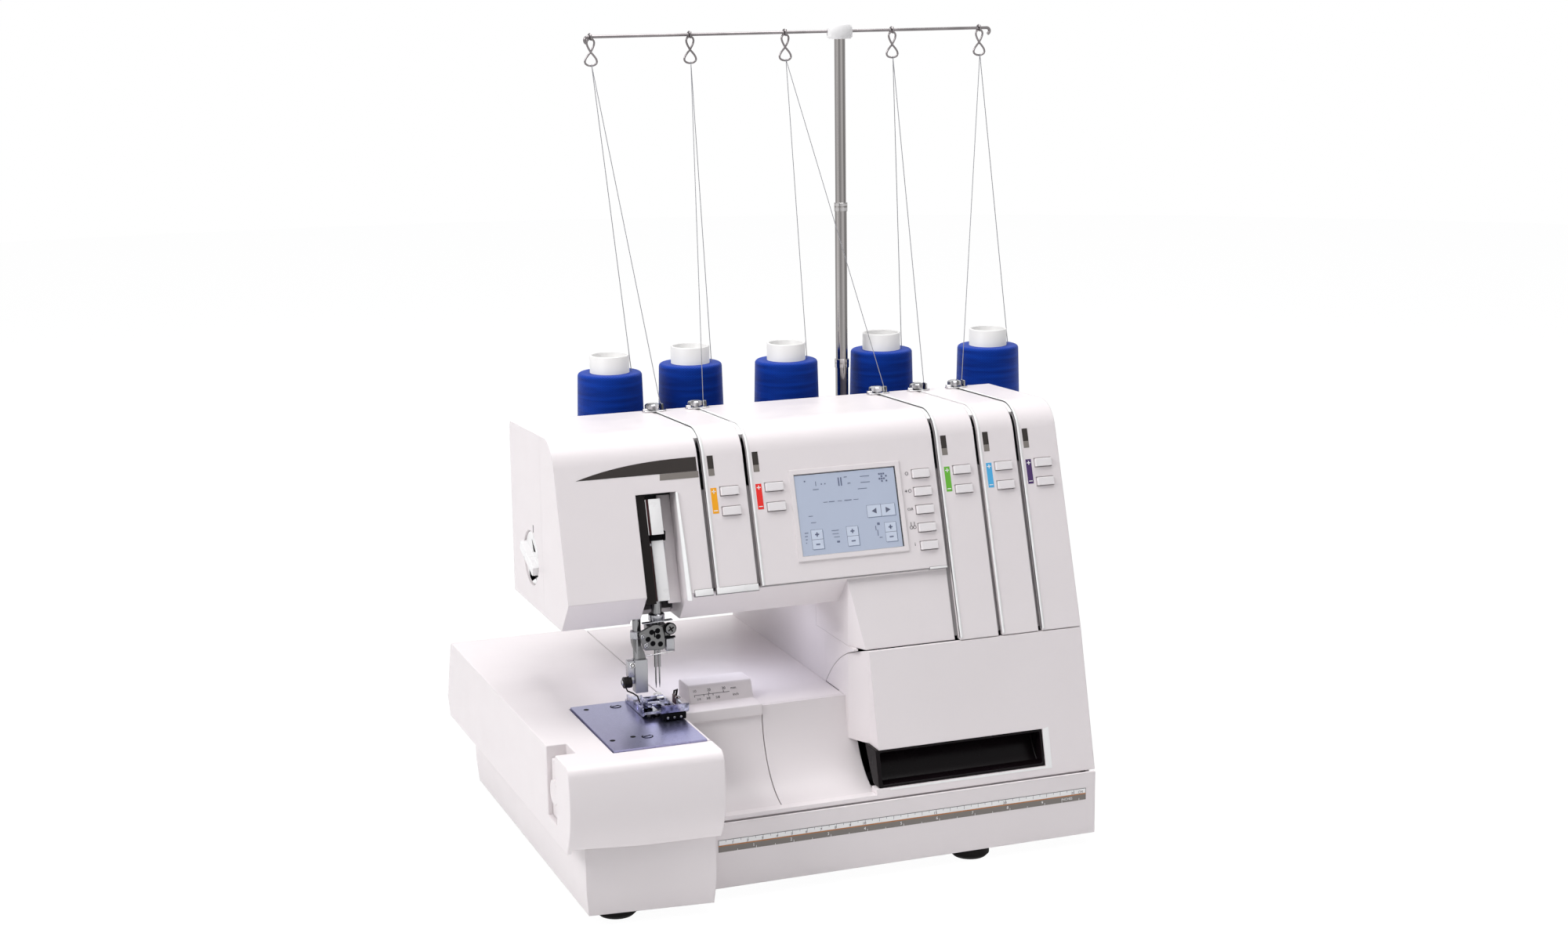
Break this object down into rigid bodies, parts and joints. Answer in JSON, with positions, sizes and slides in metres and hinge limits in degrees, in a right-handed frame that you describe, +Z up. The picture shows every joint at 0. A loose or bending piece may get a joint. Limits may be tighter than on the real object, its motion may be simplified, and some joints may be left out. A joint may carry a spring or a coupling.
{
  "type": "serger overlock machine",
  "caption": "Domestic overlock machine with a sliding extension table, hinged looper cover, touch screen, tension keys and a telescopic stand that feeds threads from spools.",
  "frame": {"origin": "on the ground, under the middle of the machine's box", "axes": "+X right along the front, +Y back, +Z up"},
  "size_m": [0.416, 0.323, 0.538],
  "materials": {
    "white_plastic": "satin moulded, very slightly warm white",
    "black_plastic": "gloss",
    "rubber": "matt",
    "plate_steel": "brushed",
    "chrome": "polished plating",
    "cast_frame": "as cast",
    "motor_shell": "satin black",
    "screen": "smooth touch film",
    "core_plastic": "smooth",
    "blue_thread": "cross-wound polyester thread",
    "thread": "single thread"
  },
  "bodies": {
    "machine": {"base_tray": "white_plastic", "rubber_feet": "rubber", "free_arm": "white_plastic", "needle_plate": "plate_steel", "bed_cover": "white_plastic", "front_casing": "white_plastic", "rear_casing": "white_plastic", "frame_casting": "cast_frame", "display_screen": "screen", "tension_units": "plate_steel", "top_guides": "chrome", "guard_plates": "white_plastic", "lower_knife": "plate_steel", "motor": "motor_shell", "drive_belt": "rubber", "power_inlet": "black_plastic", "spool_tray": "white_plastic", "spool_pins": "chrome", "spool_cores": "core_plastic", "thread_packages": "blue_thread", "pole_lower": "chrome", "threads": "thread"},
    "table": {"extension_table": "white_plastic"},
    "table_release": {"release_button": "white_plastic"},
    "cover": {"looper_cover": "white_plastic", "grip_insert": "black_plastic"},
    "seam_guide": {"seam_guide": "white_plastic"},
    "needle_bar": {"needle_bar": "chrome", "needle_clamp": "chrome", "needles": "chrome"},
    "presser": {"presser_bar": "chrome", "presser_foot": "chrome"},
    "foot_lever": {"foot_lever": "black_plastic"},
    "feed": {"feed_dogs": "plate_steel"},
    "upper_knife": {"upper_knife": "plate_steel"},
    "upper_looper": {"upper_looper": "plate_steel"},
    "lower_looper": {"lower_looper": "plate_steel"},
    "dial": {"pressure_dial": "white_plastic"},
    "drive_shaft": {"handwheel": "white_plastic", "main_shaft": "plate_steel"},
    "motor_pulley": {"motor_pulley": "plate_steel"},
    "switch": {"power_switch": "black_plastic"},
    "pole_middle": {"pole_middle": "chrome"},
    "pole_upper": {"pole_upper": "chrome", "hook_bar": "chrome"},
    "menu_key_1": {"menu_key_1": "white_plastic"},
    "menu_key_2": {"menu_key_2": "white_plastic"},
    "menu_key_3": {"menu_key_3": "white_plastic"},
    "menu_key_4": {"menu_key_4": "white_plastic"},
    "menu_key_5": {"menu_key_5": "white_plastic"},
    "plus_key_1": {"plus_key_1": "white_plastic"},
    "plus_key_2": {"plus_key_2": "white_plastic"},
    "plus_key_3": {"plus_key_3": "white_plastic"},
    "plus_key_4": {"plus_key_4": "white_plastic"},
    "plus_key_5": {"plus_key_5": "white_plastic"},
    "minus_key_1": {"minus_key_1": "white_plastic"},
    "minus_key_2": {"minus_key_2": "white_plastic"},
    "minus_key_3": {"minus_key_3": "white_plastic"},
    "minus_key_4": {"minus_key_4": "white_plastic"},
    "minus_key_5": {"minus_key_5": "white_plastic"}
  },
  "joints": [
    {"name": "table_slide", "type": "slide", "parent": "machine", "child": "table", "axis": [-1, 0, 0], "range_m": [0, 0.072]},
    {"name": "table_release_press", "type": "slide", "parent": "table", "child": "table_release", "axis": [1, 0, 0], "range_m": [0, 0.0025], "stiffness_N_per_m": 400},
    {"name": "cover_hinge", "type": "hinge", "parent": "machine", "child": "cover", "pos_m": [0.0533, -0.121, 0.0524], "axis": [1, 0, 0], "range_deg": [0, 78]},
    {"name": "seam_guide_lift", "type": "slide", "parent": "cover", "child": "seam_guide", "axis": [0, 0, 1], "range_m": [0, 0.012]},
    {"name": "needle_bar_stroke", "type": "slide", "parent": "machine", "child": "needle_bar", "axis": [0, 0, -1], "range_m": [0, 0.026]},
    {"name": "foot_lever_hinge", "type": "hinge", "parent": "machine", "child": "foot_lever", "pos_m": [-0.156, 0.0305, 0.19], "axis": [1, 0, 0], "range_deg": [0, 15]},
    {"name": "presser_lift", "type": "slide", "parent": "machine", "child": "presser", "axis": [0, 0, 1], "range_m": [0, 0.006]},
    {"name": "feed_stroke", "type": "slide", "parent": "machine", "child": "feed", "axis": [0, 1, 0], "range_m": [-0.002, 0.002]},
    {"name": "upper_knife_stroke", "type": "slide", "parent": "machine", "child": "upper_knife", "axis": [0, 0, -1], "range_m": [0, 0.005]},
    {"name": "upper_looper_swing", "type": "hinge", "parent": "machine", "child": "upper_looper", "pos_m": [-0.082, -0.0631, 0.062], "axis": [0, 1, 0], "range_deg": [-10, 10]},
    {"name": "lower_looper_swing", "type": "hinge", "parent": "machine", "child": "lower_looper", "pos_m": [-0.082, -0.0715, 0.062], "axis": [0, 1, 0], "range_deg": [-10, 10]},
    {"name": "pressure_dial_turn", "type": "hinge", "parent": "machine", "child": "dial", "pos_m": [-0.1855, -0.0008, 0.2025], "axis": [-1, 0, 0], "range_deg": [-150, 150]},
    {"name": "handwheel_turn", "type": "hinge", "parent": "machine", "child": "drive_shaft", "pos_m": [0.163, 0.0225, 0.085], "axis": [1, 0, 0], "continuous": true},
    {"name": "motor_turn", "type": "hinge", "parent": "machine", "child": "motor_pulley", "pos_m": [0.146, 0.0885, 0.085], "axis": [1, 0, 0], "continuous": true},
    {"name": "power_switch_rock", "type": "hinge", "parent": "machine", "child": "switch", "pos_m": [0.157, 0.0725, 0.066], "axis": [0, 0, -1], "range_deg": [0, 10]},
    {"name": "pole_middle_slide", "type": "slide", "parent": "machine", "child": "pole_middle", "axis": [0, 0, -1], "range_m": [0, 0.085], "deforming": ["threads"]},
    {"name": "pole_upper_slide", "type": "slide", "parent": "pole_middle", "child": "pole_upper", "axis": [0, 0, -1], "range_m": [0, 0.085]},
    {"name": "menu_key_1_press", "type": "slide", "parent": "machine", "child": "menu_key_1", "axis": [0, 0.9537, -0.3007], "range_m": [0, 0.001], "stiffness_N_per_m": 600},
    {"name": "menu_key_2_press", "type": "slide", "parent": "machine", "child": "menu_key_2", "axis": [0, 0.9537, -0.3007], "range_m": [0, 0.001], "stiffness_N_per_m": 600},
    {"name": "menu_key_3_press", "type": "slide", "parent": "machine", "child": "menu_key_3", "axis": [0, 0.9537, -0.3007], "range_m": [0, 0.001], "stiffness_N_per_m": 600},
    {"name": "menu_key_4_press", "type": "slide", "parent": "machine", "child": "menu_key_4", "axis": [0, 0.9537, -0.3007], "range_m": [0, 0.001], "stiffness_N_per_m": 600},
    {"name": "menu_key_5_press", "type": "slide", "parent": "machine", "child": "menu_key_5", "axis": [0, 0.9537, -0.3007], "range_m": [0, 0.001], "stiffness_N_per_m": 600},
    {"name": "plus_key_1_press", "type": "slide", "parent": "machine", "child": "plus_key_1", "axis": [0, 0.9537, -0.3007], "range_m": [0, 0.001], "stiffness_N_per_m": 600},
    {"name": "plus_key_2_press", "type": "slide", "parent": "machine", "child": "plus_key_2", "axis": [0, 0.9537, -0.3007], "range_m": [0, 0.001], "stiffness_N_per_m": 600},
    {"name": "plus_key_3_press", "type": "slide", "parent": "machine", "child": "plus_key_3", "axis": [0, 0.9537, -0.3007], "range_m": [0, 0.001], "stiffness_N_per_m": 600},
    {"name": "plus_key_4_press", "type": "slide", "parent": "machine", "child": "plus_key_4", "axis": [0, 0.9537, -0.3007], "range_m": [0, 0.001], "stiffness_N_per_m": 600},
    {"name": "plus_key_5_press", "type": "slide", "parent": "machine", "child": "plus_key_5", "axis": [0, 0.9537, -0.3007], "range_m": [0, 0.001], "stiffness_N_per_m": 600},
    {"name": "minus_key_1_press", "type": "slide", "parent": "machine", "child": "minus_key_1", "axis": [0, 0.9537, -0.3007], "range_m": [0, 0.001], "stiffness_N_per_m": 600},
    {"name": "minus_key_2_press", "type": "slide", "parent": "machine", "child": "minus_key_2", "axis": [0, 0.9537, -0.3007], "range_m": [0, 0.001], "stiffness_N_per_m": 600},
    {"name": "minus_key_3_press", "type": "slide", "parent": "machine", "child": "minus_key_3", "axis": [0, 0.9537, -0.3007], "range_m": [0, 0.001], "stiffness_N_per_m": 600},
    {"name": "minus_key_4_press", "type": "slide", "parent": "machine", "child": "minus_key_4", "axis": [0, 0.9537, -0.3007], "range_m": [0, 0.001], "stiffness_N_per_m": 600},
    {"name": "minus_key_5_press", "type": "slide", "parent": "machine", "child": "minus_key_5", "axis": [0, 0.9537, -0.3007], "range_m": [0, 0.001], "stiffness_N_per_m": 600}
  ],
  "couplings": [
    {"joint": "foot_lever_hinge", "follows": "presser_lift", "rad_per_m": 43.633},
    {"joint": "motor_turn", "follows": "handwheel_turn", "ratio": 3.3333},
    {"joint": "pole_upper_slide", "follows": "pole_middle_slide", "ratio": 1}
  ]
}
